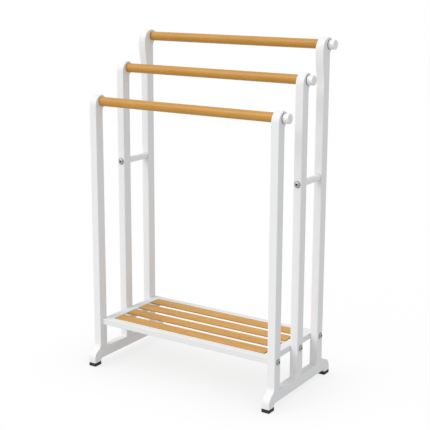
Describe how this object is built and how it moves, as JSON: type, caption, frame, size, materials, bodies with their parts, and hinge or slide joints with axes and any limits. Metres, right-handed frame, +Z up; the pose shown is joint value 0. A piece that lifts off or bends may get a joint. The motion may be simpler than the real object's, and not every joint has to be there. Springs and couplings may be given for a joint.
{
  "type": "towel stand",
  "caption": "Freestanding stepped towel stand: white side frames, round wooden rails with hand knobs at one end, and a low slatted shelf on rubber pads.",
  "frame": {"origin": "on the floor, under the middle of the whole stand", "axes": "+Z up, +Y from the low front rail to the high back rail, +X towards the side with the knobs"},
  "size_m": [0.5353, 0.2894, 0.8142],
  "materials": {
    "white_lacquer": "satin lacquer, opaque",
    "bamboo": "clear satin",
    "beech_dowel": "raw",
    "white_steel": "satin powder coat",
    "white_plastic": "satin",
    "nylon": "matt, dark",
    "chrome": "polished",
    "steel": "zinc plated",
    "brass": "plain",
    "rubber": "matt"
  },
  "bodies": {
    "stand": {"back_cover_cap": "white_plastic", "back_rail": "bamboo", "front_cover_cap": "white_plastic", "front_rail": "bamboo", "ledge_screws": "steel", "left_back_post": "white_lacquer", "left_foot_rail": "white_lacquer", "left_front_pad": "rubber", "left_front_post": "white_lacquer", "left_middle_post": "white_lacquer", "left_post_dowels": "beech_dowel", "left_rear_pad": "rubber", "left_shelf_bolts": "chrome", "left_shelf_inserts": "brass", "left_spacer_bolt": "chrome", "left_spacer_tube": "white_steel", "middle_cover_cap": "white_plastic", "middle_rail": "bamboo", "pad_screws": "steel", "rail_screws": "steel", "rail_studs": "steel", "right_back_post": "white_lacquer", "right_foot_rail": "white_lacquer", "right_front_pad": "rubber", "right_front_post": "white_lacquer", "right_middle_post": "white_lacquer", "right_post_dowels": "beech_dowel", "right_rear_pad": "rubber", "right_shelf_bolts": "chrome", "right_shelf_inserts": "brass", "right_spacer_bolt": "chrome", "right_spacer_tube": "white_steel", "shelf_frame_dowels": "beech_dowel", "shelf_front_bar": "white_lacquer", "shelf_left_end_bar": "white_lacquer", "shelf_left_ledge": "white_lacquer", "shelf_rear_bar": "white_lacquer", "shelf_right_end_bar": "white_lacquer", "shelf_right_ledge": "white_lacquer", "shelf_slat_1": "bamboo", "shelf_slat_2": "bamboo", "shelf_slat_3": "bamboo", "shelf_slat_4": "bamboo", "slat_screws": "steel", "spacer_inserts": "brass"},
    "front_knob_collar": {"front_knob_washer": "nylon"},
    "front_knob_turn": {"front_knob": "white_plastic"},
    "middle_knob_collar": {"middle_knob_washer": "nylon"},
    "middle_knob_turn": {"middle_knob": "white_plastic"},
    "back_knob_collar": {"back_knob_washer": "nylon"},
    "back_knob_turn": {"back_knob": "white_plastic"}
  },
  "joints": [
    {"name": "front_knob_travel", "type": "slide", "parent": "stand", "child": "front_knob_collar", "axis": [1, 0, 0], "range_m": [0, 0.00875]},
    {"name": "front_knob_screw", "type": "hinge", "parent": "front_knob_collar", "child": "front_knob_turn", "pos_m": [0.2515, -0.10075, 0.654], "axis": [1, 0, 0], "range_deg": [0, 2520.1]},
    {"name": "middle_knob_travel", "type": "slide", "parent": "stand", "child": "middle_knob_collar", "axis": [1, 0, 0], "range_m": [0, 0.00875]},
    {"name": "middle_knob_screw", "type": "hinge", "parent": "middle_knob_collar", "child": "middle_knob_turn", "pos_m": [0.2515, 0.00325, 0.726], "axis": [1, 0, 0], "range_deg": [0, 2520.1]},
    {"name": "back_knob_travel", "type": "slide", "parent": "stand", "child": "back_knob_collar", "axis": [1, 0, 0], "range_m": [0, 0.00875]},
    {"name": "back_knob_screw", "type": "hinge", "parent": "back_knob_collar", "child": "back_knob_turn", "pos_m": [0.2515, 0.10125, 0.798], "axis": [1, 0, 0], "range_deg": [0, 2520.1]}
  ],
  "couplings": [
    {"joint": "front_knob_screw", "follows": "front_knob_travel", "rad_per_m": 5026.5},
    {"joint": "middle_knob_screw", "follows": "middle_knob_travel", "rad_per_m": 5026.5},
    {"joint": "back_knob_screw", "follows": "back_knob_travel", "rad_per_m": 5026.5}
  ]
}
